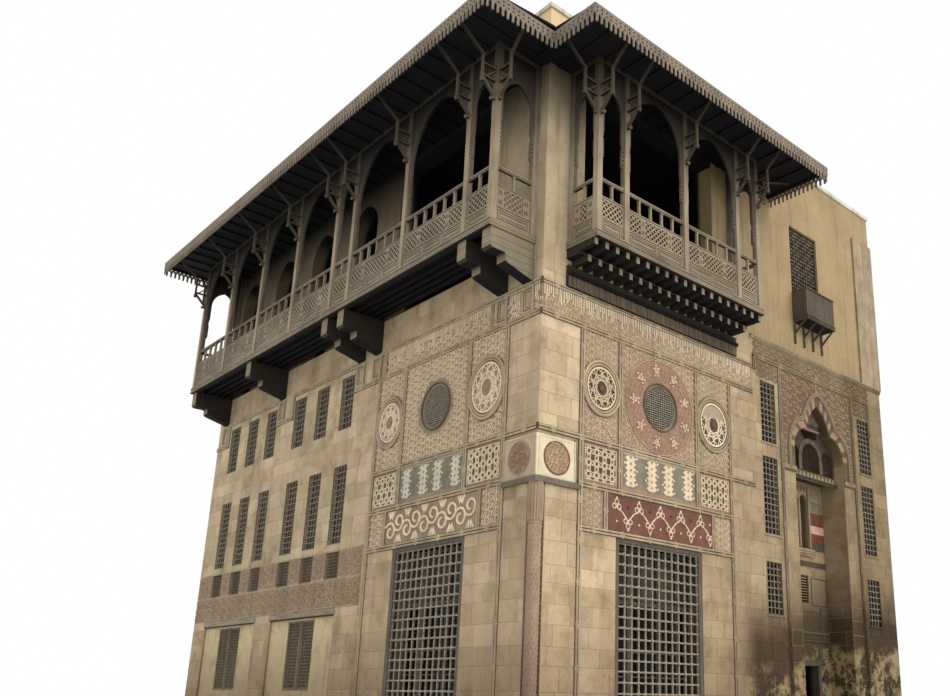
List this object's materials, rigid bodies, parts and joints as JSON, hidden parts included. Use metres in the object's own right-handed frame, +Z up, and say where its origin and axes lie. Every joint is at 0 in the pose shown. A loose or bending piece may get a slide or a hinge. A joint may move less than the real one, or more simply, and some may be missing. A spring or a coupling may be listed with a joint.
{
  "type": "corner building with mashrabiya galleries",
  "caption": "Corner building of cut stone whose top storey opens on two overhanging timber mashrabiya galleries with lattice parapets, arched bays, brackets and a toothed eave.",
  "frame": {"origin": "centre of the overall box in plan, at ground level", "axes": "+X along the right front away from the corner, +Y along the left front away from the corner, +Z up"},
  "size_m": [15.95, 18.73, 16.71],
  "materials": {
    "ashlar": "weathered limestone ashlar, dressed, soot-stained",
    "plaster": "yellow lime plaster, trowelled and rain-streaked",
    "carved_stone": "carved limestone with red and black inlay",
    "white_coping": "whitewashed plaster coping",
    "timber": "weathered grey-brown softwood, turned and sawn",
    "dark_timber": "dark stained softwood",
    "iron": "wrought iron bars with ball joints, dull and dusty"
  },
  "bodies": {
    "root": {"ground_floor": "ashlar", "wing_floors": "dark_timber", "gallery_floor": "dark_timber", "roof_slab": "plaster", "coping": "white_coping", "left_corner_wall": "ashlar", "left_corner_wall_top": "ashlar", "left_wing_wall": "ashlar", "right_corner_wall": "ashlar", "portal_wall": "ashlar", "right_end_wall": "ashlar", "back_wall": "ashlar", "far_side_wall": "ashlar", "corner_pier": "ashlar", "end_quoin": "ashlar", "loggia_heads": "plaster", "upper_left_piers": "plaster", "upper_left_wall": "plaster", "upper_right_wall": "plaster", "upper_back_wall": "plaster", "upper_far_side_wall": "plaster", "upper_shutters": "dark_timber", "corner_column": "carved_stone", "corner_ledge": "carved_stone", "corner_panels": "carved_stone", "left_mouldings": "carved_stone", "right_mouldings": "carved_stone", "portal_hood": "carved_stone", "portal_vault": "carved_stone", "left_big_grille": "iron", "right_big_grille": "iron", "round_grilles": "iron", "big_window_frames": "dark_timber", "window_frames": "dark_timber", "ground_window_frames": "dark_timber", "lattice_window": "dark_timber", "box_balcony": "dark_timber", "left_corbels": "timber", "left_deck": "timber", "left_posts": "timber", "left_arches": "timber", "left_rails": "timber", "left_panels": "timber", "left_lattice_near": "timber", "left_lattice_far": "timber", "left_struts": "timber", "left_canopy": "dark_timber", "left_fascia": "timber", "right_joists": "timber", "right_deck": "timber", "right_posts": "timber", "right_arches": "timber", "right_rails": "timber", "right_panels": "timber", "right_lattice": "timber", "right_struts": "timber", "right_canopy": "dark_timber", "right_fascia": "timber"}
  },
  "joints": []
}
